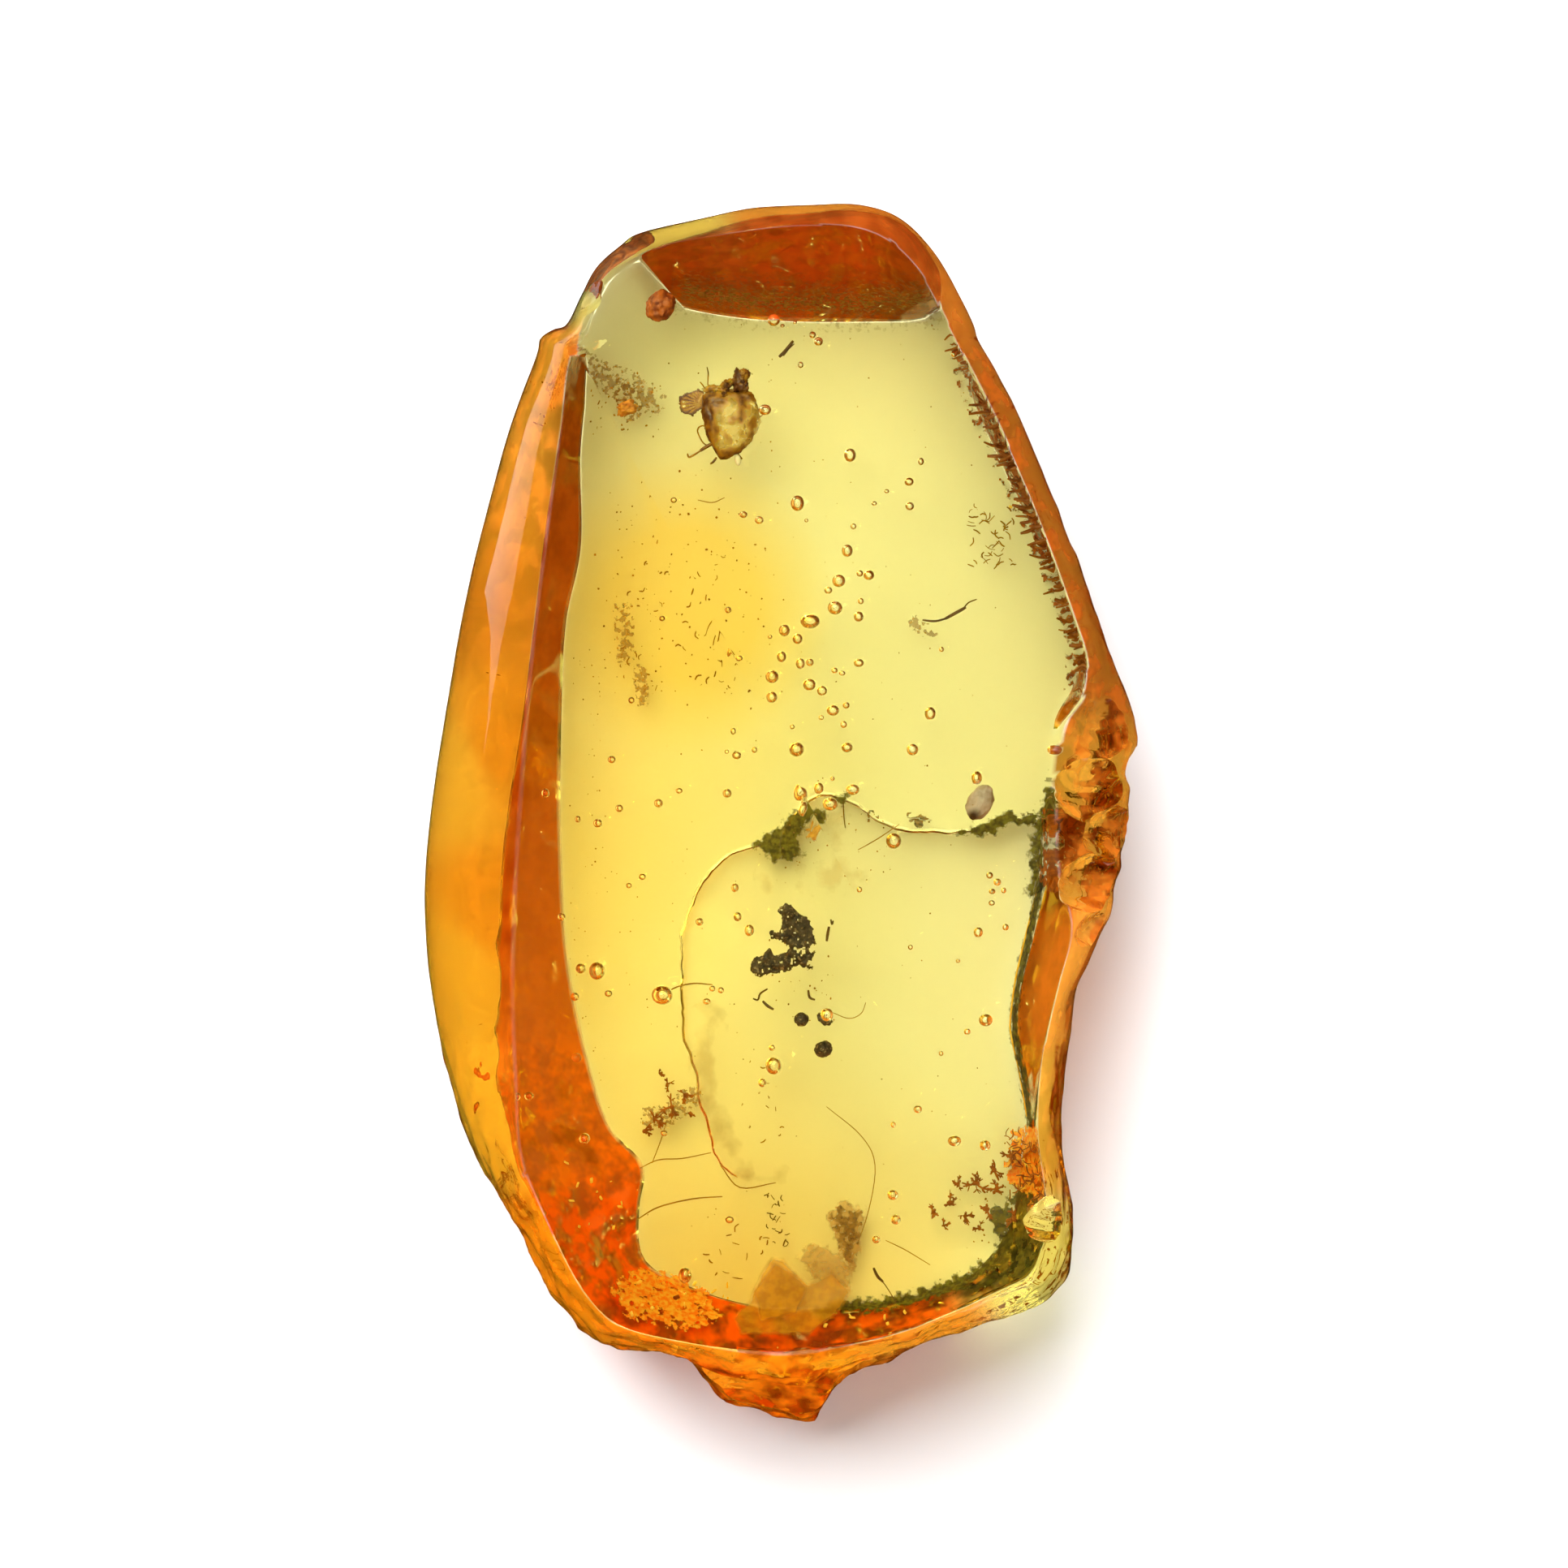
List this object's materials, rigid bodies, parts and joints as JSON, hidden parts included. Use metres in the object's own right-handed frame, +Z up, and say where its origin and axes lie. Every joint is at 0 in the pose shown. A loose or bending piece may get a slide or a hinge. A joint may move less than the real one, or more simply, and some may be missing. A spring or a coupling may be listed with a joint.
{
  "type": "insect in amber",
  "caption": "Flat polished lump of clear yellow natural amber with a broken orange rim, holding a small bug, charred plant flakes and tiny grains.",
  "frame": {"origin": "centre of the lump's bounding box, on the surface it lies on", "axes": "+Z up through the polished face, +Y along the length towards the blunt end"},
  "size_m": [0.0294, 0.0502, 0.0127],
  "materials": {
    "clear_amber": "polished clear fossil resin with a weathered orange rim",
    "chitin": "brown translucent insect cuticle",
    "charcoal": "dull porous char",
    "brown_matter": "dull red-brown grain",
    "orange_matter": "dull orange-brown crumb",
    "pale_matter": "pale grey smooth pellet"
  },
  "bodies": {
    "root": {"amber_upper_half": "clear_amber", "amber_lower_half": "clear_amber", "insect": "chitin", "charred_fragment": "charcoal", "charred_grain_1": "charcoal", "charred_grain_2": "charcoal", "charred_grain_3": "charcoal", "brown_grain": "brown_matter", "orange_grain": "orange_matter", "pale_pellet": "pale_matter"}
  },
  "joints": []
}
